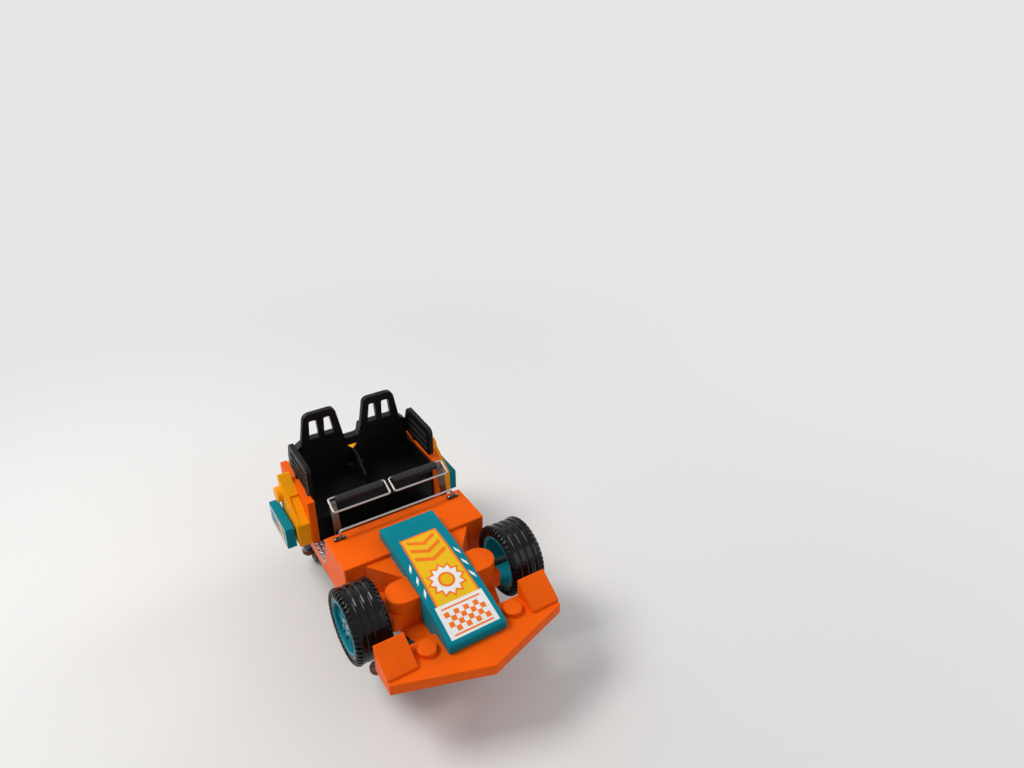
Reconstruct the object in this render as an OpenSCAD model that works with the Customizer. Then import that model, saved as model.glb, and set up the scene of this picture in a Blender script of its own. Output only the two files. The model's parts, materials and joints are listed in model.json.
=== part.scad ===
// Lead car of a small family roller coaster, styled as an open-wheel racer.
// Two riders sit side by side. Forward is -Y, the car's own left is +X, up is +Z.
// The origin lies under the middle of the car, at the foot of the upstop wheels.

/* [Body] */
// Half width over the body sides
body_hw = 590; // [560:1:600]
// Thickness of a body side
side_t = 62; // [50:1:66]
// Height of the body's underside
belly_z = 490; // [480:1:500]
// Height of the foot entry's tread plate
step_z = 595; // [590:1:610]
// Front end of the body side behind the foot entry
side_front_y = 490; // [480:1:500]
// Rear end of the body
body_rear_y = 1195; // [1180:1:1210]
// Height of the body side at its front end
side_top_z = 1003; // [990:1:1010]
// Fall of the body side's top edge to the rear
side_fall = 33; // [0:1:40]

/* [Cowl and nose] */
// Front face of the cowl
cowl_front_y = -259; // [-270:1:-250]
// Rear edge of the cowl's top
cowl_rear_y = 145; // [135:1:150]
// Height of the cowl's top
cowl_top_z = 902; // [890:1:910]
// Half width of the nose beam
nose_hw = 228; // [215:1:235]
// Foot of the nose beam's front end
nose_front_y = -1195; // [-1200:1:-1190]
// Height of the nose beam's rear end
nose_top_z = 993; // [985:1:1000]
// Half width of the front wing
wing_hw = 677; // [660:1:690]
// Point of the front wing
wing_tip_y = -1430; // [-1440:1:-1425]
// Front outer corner of the wing
wing_corner_y = -1208; // [-1215:1:-1200]
// Rear edge of the wing plate
wing_rear_y = -967; // [-970:1:-960]
// Height of the wing plate's top
wing_z = 725; // [715:1:730]
// Thickness of the wing plate
wing_t = 92; // [80:1:95]

/* [Show wheels] */
// Radius of the big tyre
tyre_r = 280; // [270:1:285]
// Inner face of the big tyre
tyre_in_x = 487; // [480:1:492]
// Outer face of the big tyre
tyre_out_x = 760; // [750:1:765]
// Radius of the rim
rim_r = 204; // [195:1:208]
// Axle position of the big wheels
show_y = -612; // [-616:1:-608]
// Axle height of the big wheels
show_z = 740; // [735:1:742]
// Radius of the suspension pods' round ends
pod_r = 117; // [112:1:118]

/* [Seats] */
// Front face of the backrests
back_y = 975; // [965:1:980]
// Height of the shoulder line
shoulder_z = 1244; // [1235:1:1250]
// Height of the low edge between the two backrests
valley_z = 1156; // [1150:1:1165]
// Top of the head hoops
hoop_top_z = 1500; // [1490:1:1510]
// Height of the seat pan at its front
pan_z = 842; // [835:1:850]
// Bolster length
bolster_l = 452; // [440:1:458]
// Bolster height
bolster_h = 263; // [255:1:270]

/* [Lap bars] */
// Height of a lap bar's pivot
bar_pivot_z = 650; // [645:1:655]
// Position of a lap bar's pivot
bar_pivot_y = 180; // [176:1:184]
// Gap from the tube loop's outer side to the body's flank
bar_side_gap = 104; // [102:1:110]
// Inner side of the tube loop
bar_in_x = 20; // [18:1:26]
// Tube radius
bar_r = 9; // [8:0.5:10]
// Pad radius
pad_r = 34; // [31:1:36]

/* [Running gear] */
// Half gauge, centre to centre of the rail tubes
gauge_h = 420; // [415:1:425]
// Radius of the rail tubes that the car rides on
rail_r = 45; // [44:0.5:45]
// Running wheel radius
run_r = 100; // [98:1:101]
// Guide wheel radius
guide_r = 60; // [58:1:60]
// Upstop wheel radius
stop_r = 50; // [50:1:50]
// Front axle position
front_axle_y = -570; // [-580:1:-560]
// Rear axle position
rear_axle_y = 930; // [920:1:940]

/* [Hidden] */
$fn = 64;
orange_c = [0.95, 0.36, 0.04];
teal_c = [0.0, 0.5, 0.6];
amber_c = [1.0, 0.65, 0.02];
black_c = [0.05, 0.05, 0.05];
steel_c = [0.35, 0.36, 0.38];
chrome_c = [0.8, 0.8, 0.82];
side_in = body_hw - side_t;
sill_in = body_hw - 110;
cowl_hw = body_hw - 2;
cowl_in = cowl_hw - 12;
seat_hw = side_in - 20;
seat_x = seat_hw / 2 + 8;
side_pod_x = body_hw + 100;
outboard_x = body_hw + 112;
bar_out_x = body_hw - bar_side_gap;
deck_z = wing_z - 70;
frame_front_y = wing_rear_y - 43;
frame_rear_y = body_rear_y - 45;
run_z = 2 * stop_r + 5 + 2 * rail_r + run_r;
rail_z = 2 * stop_r + 5 + rail_r;
frame_z = 420;
floor_z = 560;
shaft_r = 20;
pin_r = 12;
run_fit = 0.05;

// A closed outline with its corners rounded: rads holds one radius per point.
function rounded(pts, rads, n = 5) = [for (i = [0:len(pts) - 1])
    let (p = pts[i], a = pts[(i + len(pts) - 1) % len(pts)], b = pts[(i + 1) % len(pts)], r = rads[i])
    each (r <= 0 ? [p] :
        let (u = (a - p) / norm(a - p), v = (b - p) / norm(b - p), t = r / tan(acos(u * v) / 2),
            p0 = p + u * t, p1 = p + v * t)
        [for (k = [0:n]) let (s = k / n) (1 - s) * (1 - s) * p0 + 2 * s * (1 - s) * p + s * s * p1])];
function same(n, r) = [for (i = [1:n]) r];

// Extrusions of a flat outline along X, Y or Z.
module along_x(x0, x1) translate([x0, 0, 0]) rotate([90, 0, 90]) linear_extrude(height = x1 - x0) children();
module along_y(y0, y1) translate([0, y1, 0]) rotate([90, 0, 0]) linear_extrude(height = y1 - y0) children();
module along_z(z0, z1) translate([0, 0, z0]) linear_extrude(height = z1 - z0) children();
module box(x0, x1, y0, y1, z0, z1) translate([x0, y0, z0]) cube([x1 - x0, y1 - y0, z1 - z0]);
module rod_x(x0, x1, y, z, r) translate([x0, y, z]) rotate([0, 90, 0]) cylinder(h = x1 - x0, r = r);
module rod_z(x, y, z0, z1, r) translate([x, y, z0]) cylinder(h = z1 - z0, r = r);
module both() { children(); mirror([1, 0, 0]) children(); }
// Steel frame under the body, with the kingpin housings and the rear coupling eye.
eye_y = 1385;
module chassis_frame() color(steel_c) difference() {
    union() {
        both() box(230, 290, frame_front_y, frame_rear_y, frame_z, belly_z);
        both() box(230, 290, frame_front_y, frame_front_y + 60, belly_z, wing_z - wing_t);
        both() box(230, 290, cowl_front_y - 60, cowl_front_y, belly_z, wing_z - wing_t);
        for (y = [frame_front_y, -300, 150, 560, frame_rear_y - 60]) box(-230, 230, y, y + 60, frame_z, belly_z);
        for (y = [front_axle_y, rear_axle_y]) {
            box(-230, 230, y - 60, y + 60, frame_z, belly_z);
            rod_z(0, y, 350, belly_z, 62);
        }
        both() box(290, side_in, 200, 260, frame_z, belly_z);
        both() box(290, side_in, frame_rear_y - 60, frame_rear_y, frame_z, belly_z);
        box(-30, 30, frame_rear_y, eye_y, 425, 485);
        rod_z(0, eye_y, 425, 485, 45);
    }
    for (y = [front_axle_y, rear_axle_y]) rod_z(0, y, 340, 480, 25 + run_fit);
    rod_z(0, eye_y, 420, 490, 20);
}

module floor_pan() color(black_c) {
    box(-side_in, side_in, 205, body_rear_y - 25, belly_z, belly_z + 15);
    box(-sill_in, sill_in, 205, 510, belly_z + 15, floor_z);
    box(-cowl_in, cowl_in, cowl_front_y + 12, 205, belly_z, belly_z + 15);
}

// Height of the body side's top edge at y.
function side_top(y) = side_top_z - side_fall * (y - side_front_y) / (body_rear_y - side_front_y);
module body_sides() color(orange_c) both() union() {
    along_x(side_in, body_hw) polygon([[205, belly_z], [body_rear_y, belly_z],
        [body_rear_y, side_top_z - side_fall], [side_front_y, side_top_z], [side_front_y, step_z - 10], [205, step_z - 10]]);
    box(sill_in, side_in, 205, side_front_y, belly_z + 15, step_z - 10);
}

module step_plates() color(chrome_c) both()
    along_z(step_z - 10, step_z) polygon([[sill_in - 2, 212], [body_hw, 212], [body_hw, side_front_y], [sill_in - 2, side_front_y]]);

// Shell of the cowl: top, front and sides. The sides' rear edge leans back to the sill.
module cowl() color(orange_c) {
    difference() {
        intersection() {
            along_x(-cowl_hw, cowl_hw) polygon(rounded([[cowl_front_y, belly_z], [cowl_front_y, cowl_top_z],
                [cowl_rear_y, cowl_top_z], [205, step_z], [205, belly_z]], [0, 14, 8, 0, 0]));
            along_z(belly_z - 1, cowl_top_z + 1) polygon(rounded([[-cowl_hw, cowl_front_y], [cowl_hw, cowl_front_y],
                [cowl_hw, 210], [-cowl_hw, 210]], [26, 26, 0, 0]));
            along_y(cowl_front_y - 1, 210) polygon(rounded([[-cowl_hw, belly_z - 1], [cowl_hw, belly_z - 1],
                [cowl_hw, cowl_top_z], [-cowl_hw, cowl_top_z]], [0, 0, 14, 14]));
        }
        box(-cowl_in, cowl_in, cowl_front_y + 12, 300, belly_z - 5, cowl_top_z - 12);
    }
    both() along_z(deck_z, 870) polygon([[nose_hw, cowl_front_y], [nose_hw, pod_y + pod_r + 1], [432, cowl_front_y]]);
}

module bulkhead() color(black_c) box(-cowl_in, cowl_in, 130, 145, belly_z + 15, cowl_top_z - 12);

// Height of the nose beam's top at y, an even curve from the wing up to the cowl.
nose_rear_y = -70;
nose_tip_z = 797;
function nose_top(y) = let (s = (y - nose_front_y) / (nose_rear_y - nose_front_y))
    nose_tip_z + (nose_top_z - nose_tip_z) * (1 - pow(1 - s, 1.85));
module nose() color(teal_c)
    along_x(-nose_hw, nose_hw) polygon(concat(
        [[nose_front_y, wing_z], [wing_rear_y, wing_z], [wing_rear_y, deck_z], [cowl_front_y, deck_z],
         [cowl_front_y, cowl_top_z], [nose_rear_y, cowl_top_z]],
        [for (i = [0:18]) let (y = nose_rear_y + (nose_front_y + 14 - nose_rear_y) * i / 18) [y, nose_top(y)]],
        [[nose_front_y, nose_tip_z - 12]]));

module front_wing() color(orange_c) {
    along_z(wing_z - wing_t, wing_z) polygon(rounded([[-wing_hw, wing_corner_y], [0, wing_tip_y], [wing_hw, wing_corner_y],
        [wing_hw, wing_rear_y], [-wing_hw, wing_rear_y]], [18, 0, 18, 12, 12]));
    along_z(wing_z - wing_t, deck_z) polygon([[-330, wing_rear_y], [330, wing_rear_y], [400, -730], [432, cowl_front_y],
        [-432, cowl_front_y], [-400, -730]]);
}

// Wedge blocks on the wing's ends and a round boss inboard of each.
module wing_blocks() color(orange_c) both() {
    intersection() {
        along_x(453, wing_hw) polygon(rounded([[wing_rear_y, wing_z], [wing_rear_y, 880], [-1183, 746], [-1183, wing_z]], [0, 14, 8, 0]));
        along_z(wing_z, 900) polygon(rounded([[453, -1183], [wing_hw, -1183], [wing_hw, wing_rear_y], [453, wing_rear_y]], [14, 14, 16, 16]));
    }
    translate([341, -1082, wing_z]) rotate_extrude() polygon([[0, 0], [70, 0], [70, 32], [62, 40], [0, 40]]);
}

pod_y = show_y - 33;
module suspension_pods() color(orange_c) both() union() {
    along_z(732, 892) intersection() {
        translate([nose_hw, pod_y - pod_r]) square([220, 2 * pod_r]);
        union() {
            translate([nose_hw, pod_y - pod_r]) square([90, 2 * pod_r]);
            translate([nose_hw + 90, pod_y]) circle(r = pod_r);
        }
    }
    along_z(deck_z, 777) polygon(rounded([[nose_hw, pod_y - pod_r], [445, pod_y - pod_r], [445, pod_y + 90], [nose_hw, pod_y + 90]], [0, 22, 22, 0]));
}

stub_r = 25;
module stub_axles() color(steel_c) both() {
    rod_x(445, 722, show_y, show_z, stub_r);
    rod_x(445, 470, show_y, show_z, 34);
}

rail_x = cowl_hw - 106;
grab_r = 10;
grab_z = 982;
module grab_rail() color(chrome_c) {
    rod_x(24 - rail_x, rail_x - 24, 80, grab_z, grab_r);
    both() {
        translate([rail_x - 24, 80, grab_z - 24]) rotate([90, 0, 0]) rotate_extrude(angle = 90) translate([24, 0]) circle(r = grab_r);
        rod_z(rail_x, 80, 908, grab_z - 24, grab_r);
        along_z(cowl_top_z, 914) polygon(rounded([[rail_x - 40, 62], [rail_x + 54, 62], [rail_x + 54, 102], [rail_x - 40, 102]], same(4, 10)));
    }
}

module side_liners() color(black_c) both()
    along_x(seat_hw, side_in) polygon([[517, floor_z - 55], [body_rear_y - 25, floor_z - 55], [body_rear_y - 25, 940],
        [back_y + 80, 940], [back_y + 80, side_top(back_y + 80) - 24], [560, side_top(560) - 24], [517, side_top(517) - 50]]);

// Sloped pod outside the body side, with a sunk panel in its slope and a round boss on its flank.
module side_pods() color(amber_c) both() {
    difference() {
        along_x(body_hw, side_pod_x) polygon(rounded([[926, 580], [926, 1050], [905, 1050], [510, 800], [510, 580]], [0, 6, 6, 10, 8]));
        along_x(body_hw - 1, side_pod_x - 28) polygon([[731, 921], [731, 960], [500, 830], [500, 790], [509, 793]]);
    }
    translate([side_pod_x, 890, 880]) rotate([0, 90, 0]) rotate_extrude() polygon([[0, 0], [66, 0], [66, 36], [58, 44], [0, 44]]);
}

module outboard_boxes() color(teal_c) both() {
    along_x(outboard_x, outboard_x + 76) polygon(rounded([[560, 560], [1000, 560], [1000, 755], [560, 755]], same(4, 14)));
    for (y = [610, 820]) box(side_pod_x, outboard_x, y, y + 50, 620, 700);
}

module rear_deck() color(amber_c) {
    box(-side_in, side_in, body_rear_y - 25, body_rear_y, belly_z, 955);
    box(-side_in, side_in, back_y + 80, body_rear_y - 25, 940, 955);
}

// One shell with two bucket seats. A low wall parts them and ends under a three-cornered hole.
shoulder_foot = [seat_x + 182, shoulder_z - 30];
module seats() color(black_c) difference() {
    union() {
        difference() {
            union() {
                along_x(-seat_hw, seat_hw) polygon(rounded([[510, belly_z + 15], [back_y + 80, belly_z + 15], [back_y + 80, 900],
                    [back_y, 900], [930, 818], [860, 822], [510, pan_z]], [0, 0, 0, 60, 30, 10, 22]));
                along_y(back_y, back_y + 80) polygon(rounded([[-seat_hw, 818], [seat_hw, 818], [seat_hw, shoulder_z - 78],
                    [seat_x + 210, shoulder_z - 46], shoulder_foot, [seat_x + 138, shoulder_z], [seat_x - 180, shoulder_z], [62, valley_z],
                    [-62, valley_z], [180 - seat_x, shoulder_z], [-seat_x - 138, shoulder_z], [-shoulder_foot[0], shoulder_foot[1]],
                    [-seat_x - 210, shoulder_z - 46], [-seat_hw, shoulder_z - 78]],
                    [0, 0, 14, 16, 0, 0, 0, 26, 26, 0, 0, 0, 16, 14]));
            }
            for (s = [-1, 1]) {
                translate([s * seat_x, back_y - 415, 800]) cylinder(h = 500, r = 450, $fn = 96);
                translate([s * seat_x, 480, 1420]) rotate([-90 - 2, 0, 0]) cylinder(h = back_y - 560, r = 600, $fn = 96);
            }
        }
        along_x(-11, 11) polygon(rounded([[back_y + 1, 820], [back_y + 1, 1027], [922, 1028], [859, 1001], [810, 955], [768, 925], [733, 908], [733, 820]],
            [0, 0, 16, 24, 24, 20, 12, 0]));
    }
    along_y(back_y - 1, back_y + 81) polygon([[-50, 1080], [50, 1080], [0, 1024]]);
    box(-110, 110, back_y + 18, back_y + 81, 958, valley_z - 24);
}

module head_hoops() color(black_c) both() difference() {
    along_y(965, 1010) polygon(rounded([[seat_x - 180, shoulder_z], [seat_x - 134, hoop_top_z], [seat_x + 134, hoop_top_z],
        shoulder_foot, [seat_x + 138, shoulder_z]], [0, 56, 72, 0, 0], 9));
    along_y(960, 1020) for (q = [[-112, -26, -34, -87], [20, 106, 92, 27]])
        polygon(rounded([[seat_x + q[0], shoulder_z + 14], [seat_x + q[1], shoulder_z + 14],
            [seat_x + q[2], hoop_top_z - 70], [seat_x + q[3], hoop_top_z - 70]], same(4, 14)));
}

// Bolsters: a slotted panel each on two feet that stand on the body side.
bolster_x = side_in - 16;
bolster_y = 525;
bolster_z = 1030;
bolster_top = bolster_z + bolster_h;
module bolsters() color(black_c) both() {
    difference() {
        along_x(bolster_x, bolster_x + 40) polygon(rounded([[bolster_y, bolster_z], [bolster_y + bolster_l + 36, bolster_z], [bolster_y + bolster_l + 36, bolster_z + 115],
            [bolster_y + bolster_l, bolster_top - 38], [bolster_y + bolster_l - 34, bolster_top], [bolster_y, bolster_top]],
            [36, 30, 40, 30, 26, 60], 8));
        for (i = [0:2]) along_x(bolster_x - 1, bolster_x + 41) translate([bolster_y + 48, bolster_z + 36 + i * 64])
            polygon(rounded([[0, 0], [bolster_l - 96, 0], [bolster_l - 96, 36], [0, 36]], same(4, 16)));
    }
    for (y = [bolster_y + 60, bolster_y + bolster_l - 110]) along_x(bolster_x + 18, bolster_x + 40)
        polygon([[y, side_top(y)], [y + 50, side_top(y + 50)], [y + 50, bolster_z + 10], [y, bolster_z + 10]]);
}

module lap_bar_pivots() color(steel_c) both() {
    box(bar_out_x + 10, bar_out_x + 54, bar_pivot_y - 5, 205, belly_z + 15, bar_pivot_z);
    rod_x(bar_out_x + 10, bar_out_x + 54, bar_pivot_y, bar_pivot_z, 26);
    rod_x(bar_out_x - 60, bar_out_x + 10, bar_pivot_y, bar_pivot_z, pin_r);
}

// Lap bar. The flat arm rises from the pivot in an even curve, the tube loop closes round the pad.
bar_front = [149, 1110];
bar_rear = [269, 1157];
function arm_mid(s) = [bar_pivot_y + (bar_rear[0] - 22 - bar_pivot_y) * s - 26 * sin(180 * s),
    bar_pivot_z + (bar_rear[1] - 12 - bar_pivot_z) * s];
module bar_arm() difference() {
    union() {
        along_x(bar_out_x - 52, bar_out_x + 2) polygon(concat([for (i = [0:14]) arm_mid(i / 14) + [-6, 0]], [for (i = [14:-1:0]) arm_mid(i / 14) + [6, 0]]));
        rod_x(bar_out_x - 52, bar_out_x + 2, bar_pivot_y, bar_pivot_z, 26);
    }
    rod_x(bar_out_x - 56, bar_out_x + 6, bar_pivot_y, bar_pivot_z, pin_r + run_fit);
    bar_loop(bar_r + 0.1);
}
// Tube loop with mitred corners, tilted back.
module bar_loop(r = bar_r) {
    d = norm(bar_rear - bar_front);
    e = r + 1;
    x0 = bar_in_x;
    x1 = bar_out_x;
    translate([0, bar_front[0], bar_front[1]]) rotate([atan2(bar_rear[1] - bar_front[1], bar_rear[0] - bar_front[0]), 0, 0]) {
        for (y = [0, d]) intersection() {
            rod_x(x0 - e, x1 + e, y, 0, r);
            along_z(-e, e) polygon(y == 0 ? [[x0 - e, -e], [x1 + e, -e], [x1 - e, e], [x0 + e, e]]
                : [[x0 + e, d - e], [x1 - e, d - e], [x1 + e, d + e], [x0 - e, d + e]]);
        }
        for (x = [x0, x1]) intersection() {
            translate([x, -e, 0]) rotate([-90, 0, 0]) cylinder(h = d + 2 * e, r = r);
            along_z(-e, e) polygon(x == x0 ? [[x - e, -e], [x + e, e], [x + e, d - e], [x - e, d + e]]
                : [[x + e, -e], [x + e, d + e], [x - e, d - e], [x - e, e]]);
        }
    }
}
module bar_pad() difference() {
    rod_x(bar_in_x + 22, bar_out_x - 54, bar_rear[0] - 24, bar_rear[1] - 10, pad_r);
    rod_x(bar_in_x, bar_out_x, bar_rear[0], bar_rear[1], bar_r + 0.2);
}
module left_bar_arm() color(steel_c) bar_arm();
module left_bar_frame() color(chrome_c) bar_loop();
module left_bar_pad() color(black_c) bar_pad();
module right_bar_arm() color(steel_c) mirror([1, 0, 0]) bar_arm();
module right_bar_frame() color(chrome_c) mirror([1, 0, 0]) bar_loop();
module right_bar_pad() color(black_c) mirror([1, 0, 0]) bar_pad();

// Big show wheel: a deep barrel, double spokes near the outer face, a hub with a sunk middle.
spoke_pairs = 6;
module rim() translate([0, show_y, show_z]) rotate([90, 0, 90]) difference() {
    union() {
        rotate_extrude($fn = 128) polygon([[178, tyre_in_x + 20], [rim_r, tyre_in_x + 12], [rim_r, tyre_out_x - 10], [190, tyre_out_x - 4], [182, tyre_out_x - 16], [186, tyre_out_x - 40],
            [190, tyre_in_x + 60]]);
        translate([0, 0, 690]) cylinder(h = 42, r = 66);
        for (i = [0:spoke_pairs - 1]) rotate([0, 0, i * 360 / spoke_pairs]) for (s = [-1, 1])
            translate([50, s * 25 - 6, 706]) cube([134, 12, 22]);
    }
    translate([0, 0, 714]) cylinder(h = 20, r = 38);
    cylinder(h = 715, r = stub_r + run_fit);
}
module tyre() translate([0, show_y, show_z]) rotate([90, 0, 90]) difference() {
    rotate_extrude($fn = 128) polygon(rounded([[rim_r, tyre_in_x + 14], [tyre_r - 30, tyre_in_x], [tyre_r, tyre_in_x + 34], [tyre_r, tyre_out_x - 34],
        [tyre_r - 30, tyre_out_x], [rim_r, tyre_out_x - 12]], [0, 16, 30, 30, 16, 0]));
    for (x = [-58, 0, 58]) translate([0, 0, (tyre_in_x + tyre_out_x) / 2 + x - 4]) difference() {
        cylinder(h = 8, r = tyre_r + 5, $fn = 128);
        translate([0, 0, -1]) cylinder(h = 10, r = tyre_r - 9, $fn = 128);
    }
}
module left_rim() color(teal_c) rim();
module left_tyre() color(black_c) tyre();
module right_rim() color(teal_c) mirror([1, 0, 0]) rim();
module right_tyre() color(black_c) mirror([1, 0, 0]) tyre();

// Bogie: an axle beam on a kingpin with a wheel carrier on each end, outside the rail.
plate_x = 480;
guide_x = gauge_h + rail_r + guide_r + 2;
module carrier() {
    difference() {
        along_x(plate_x, plate_x + 20) polygon([[-50, run_z + 45], [50, run_z + 45], [62, 245], [96, 205], [96, 100], [44, 18],
            [-44, 18], [-96, 100], [-96, 205], [-62, 245]]);
        box(plate_x - 1, plate_x + 21, -68, 68, rail_z - 28, rail_z + 28);
    }
    rod_x(375, plate_x + 28, 0, run_z, shaft_r);
    for (z = [rail_z - 40, rail_z + 28]) box(plate_x + 20, guide_x + 30, -32, 32, z, z + 12);
    rod_z(guide_x, 0, rail_z - 40, rail_z + 40, pin_r);
    rod_x(388, plate_x + 28, 0, stop_r, pin_r);
}
module bogie(y) color(steel_c) translate([0, y, 0]) {
    box(-375, 375, -45, 45, run_z - 40, run_z + 40);
    rod_z(0, 0, run_z + 40, 344, 58);
    rod_z(0, 0, 344, 470, 25);
    both() carrier();
}
module front_bogie() bogie(front_axle_y);
module rear_bogie() bogie(rear_axle_y);

module run_wheel(s, y) color([0.45, 0.12, 0.1]) translate([s * gauge_h, y, run_z]) rotate([0, 90, 0]) rotate_extrude($fn = 96)
    polygon([[shaft_r + run_fit, -34], [44, -34], [44, -13], [70, -13], [70, -28], [92, -30], [run_r, -22],
        [run_r, 22], [92, 30], [70, 28], [70, 13], [44, 13], [44, 34], [shaft_r + run_fit, 34]]);
module guide_wheel(s, y) color([0.45, 0.12, 0.1]) translate([s * guide_x, y, rail_z]) rotate_extrude()
    polygon([[pin_r + run_fit, -21], [26, -21], [26, -12], [40, -12], [40, -20], [guide_r - 5, -20], [guide_r, -15],
        [guide_r, 15], [guide_r - 5, 20], [40, 20], [40, 12], [26, 12], [26, 21], [pin_r + run_fit, 21]]);
module stop_wheel(s, y) color([0.45, 0.12, 0.1]) translate([s * gauge_h, y, stop_r]) rotate([0, 90, 0]) rotate_extrude()
    polygon([[pin_r + run_fit, -26], [24, -26], [24, -14], [34, -14], [34, -24], [stop_r - 5, -25], [stop_r, -20],
        [stop_r, 20], [stop_r - 5, 25], [34, 24], [34, 14], [24, 14], [24, 26], [pin_r + run_fit, 26]]);
module run_wheel_fl() run_wheel(1, front_axle_y);
module run_wheel_fr() run_wheel(-1, front_axle_y);
module run_wheel_rl() run_wheel(1, rear_axle_y);
module run_wheel_rr() run_wheel(-1, rear_axle_y);
module guide_wheel_fl() guide_wheel(1, front_axle_y);
module guide_wheel_fr() guide_wheel(-1, front_axle_y);
module guide_wheel_rl() guide_wheel(1, rear_axle_y);
module guide_wheel_rr() guide_wheel(-1, rear_axle_y);
module stop_wheel_fl() stop_wheel(1, front_axle_y);
module stop_wheel_fr() stop_wheel(-1, front_axle_y);
module stop_wheel_rl() stop_wheel(1, rear_axle_y);
module stop_wheel_rr() stop_wheel(-1, rear_axle_y);

chassis_frame();
floor_pan();
body_sides();
step_plates();
cowl();
bulkhead();
nose();
front_wing();
wing_blocks();
suspension_pods();
stub_axles();
grab_rail();
side_liners();
side_pods();
outboard_boxes();
rear_deck();
seats();
head_hoops();
bolsters();
lap_bar_pivots();
left_bar_arm();
left_bar_frame();
left_bar_pad();
right_bar_arm();
right_bar_frame();
right_bar_pad();
left_rim();
left_tyre();
right_rim();
right_tyre();
front_bogie();
rear_bogie();
run_wheel_fl();
run_wheel_fr();
run_wheel_rl();
run_wheel_rr();
guide_wheel_fl();
guide_wheel_fr();
guide_wheel_rl();
guide_wheel_rr();
stop_wheel_fl();
stop_wheel_fr();
stop_wheel_rl();
stop_wheel_rr();
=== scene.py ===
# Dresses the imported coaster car: softened body panels, seats, wheels, lap bars and fittings.
import json
import math

import bmesh
import bpy
from mathutils import Matrix, Vector


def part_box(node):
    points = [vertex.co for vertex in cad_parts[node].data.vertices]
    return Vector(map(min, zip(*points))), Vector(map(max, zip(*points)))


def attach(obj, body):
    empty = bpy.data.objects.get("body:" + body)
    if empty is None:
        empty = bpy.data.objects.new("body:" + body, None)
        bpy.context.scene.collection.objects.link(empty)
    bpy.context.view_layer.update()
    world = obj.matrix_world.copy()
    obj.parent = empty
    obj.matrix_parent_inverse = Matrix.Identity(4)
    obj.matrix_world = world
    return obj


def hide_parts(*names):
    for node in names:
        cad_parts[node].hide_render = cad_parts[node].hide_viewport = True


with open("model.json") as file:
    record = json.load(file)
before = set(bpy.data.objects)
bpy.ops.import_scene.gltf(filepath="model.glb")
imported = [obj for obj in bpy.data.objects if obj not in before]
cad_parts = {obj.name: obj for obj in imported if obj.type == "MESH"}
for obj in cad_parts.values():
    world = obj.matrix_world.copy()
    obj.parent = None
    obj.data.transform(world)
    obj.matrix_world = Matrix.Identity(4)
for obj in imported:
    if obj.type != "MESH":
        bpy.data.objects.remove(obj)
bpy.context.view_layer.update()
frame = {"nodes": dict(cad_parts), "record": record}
nodes = frame["nodes"]
body_of_node = {n: body for body, names in frame["record"]["behaviour"]["bodies"].items() for n in names}
slot_of_node = {row["node"]: row["material_slot"] for row in frame["record"]["subparts"]}

X, Y, Z = Vector((1, 0, 0)), Vector((0, 1, 0)), Vector((0, 0, 1))
QUARTER = math.pi / 2
SIDES = (("left", 1), ("right", -1))
# Points this near are one, a cut this near is on its line, and an edge this near is on the plane that picks it.
MERGE_GAP, CUT_GAP, NEAR = 1e-5, 1e-6, 0.001
# Softened edge of small metal pieces.
FINE_EDGE = 0.0008


# Camera: the photograph's viewpoint, high in front of the car on its right hand side.
CAMERA_AT = (-1.7985, -4.384, 4.9365)
CAMERA_RIGHT = Vector((0.8457, -0.5335, 0.0105)).normalized()
CAMERA_AHEAD = Vector((0.4641, 0.7255, -0.5083)).normalized()
SENSOR_WIDTH, LENS_LENGTH, NEAREST, FARTHEST = 36.0, 27.1, 0.05, 100.0


def place_camera():
    up = CAMERA_RIGHT.cross(CAMERA_AHEAD).normalized()
    right = CAMERA_AHEAD.cross(up).normalized()
    turn = Matrix((right, up, -CAMERA_AHEAD)).transposed()
    lens = bpy.data.cameras.new("viewpoint")
    lens.sensor_width, lens.lens = SENSOR_WIDTH, LENS_LENGTH
    lens.clip_start, lens.clip_end = NEAREST, FARTHEST
    camera = bpy.data.objects.new("viewpoint", lens)
    camera.matrix_world = Matrix.Translation(CAMERA_AT) @ turn.to_4x4()
    bpy.context.scene.collection.objects.link(camera)
    bpy.context.scene.camera = camera


# Editing helpers.
def clear():
    if bpy.context.object and bpy.context.object.mode != "OBJECT":
        bpy.ops.object.mode_set(mode="OBJECT")
    bpy.ops.object.select_all(action="DESELECT")


def focus(obj):
    clear()
    obj.select_set(True)
    bpy.context.view_layer.objects.active = obj
    return obj


def begin(add, name, **how):
    """Adds a primitive with nothing else selected, and puts its place in its mesh."""
    clear()
    add(**how)
    obj = bpy.context.object
    obj.name = obj.data.name = name
    bpy.ops.object.transform_apply(location=True, rotation=True, scale=True)
    return focus(obj)


def open_mesh(obj):
    focus(obj)
    bpy.ops.object.mode_set(mode="EDIT")
    bpy.ops.mesh.select_all(action="DESELECT")


def close_mesh():
    bpy.ops.object.mode_set(mode="OBJECT")


def pick(obj, test, kind="FACE"):
    """Selects what passes the test in the open mesh: test(middle, normal), or test(middle, run) for edges."""
    bpy.ops.mesh.select_mode(type=kind)
    mesh = bmesh.from_edit_mesh(obj.data)
    for part in {"FACE": mesh.faces, "EDGE": mesh.edges, "VERT": mesh.verts}[kind]:
        if kind == "FACE":
            hit = test(part.calc_center_median(), part.normal)
        elif kind == "EDGE":
            start, end = part.verts[0].co, part.verts[1].co
            hit = test((start + end) / 2, end - start)
        else:
            hit = test(part.co, part.normal)
        part.select_set(bool(hit))
    mesh.select_flush_mode()
    bmesh.update_edit_mesh(obj.data)


def faces_up(middle, normal):
    """Test for the faces on top of a small piece."""
    return normal.z > 0.9


def shift(x, y, z):
    """Moves what is selected in the open mesh."""
    bpy.ops.transform.translate(value=(x, y, z))


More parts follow.
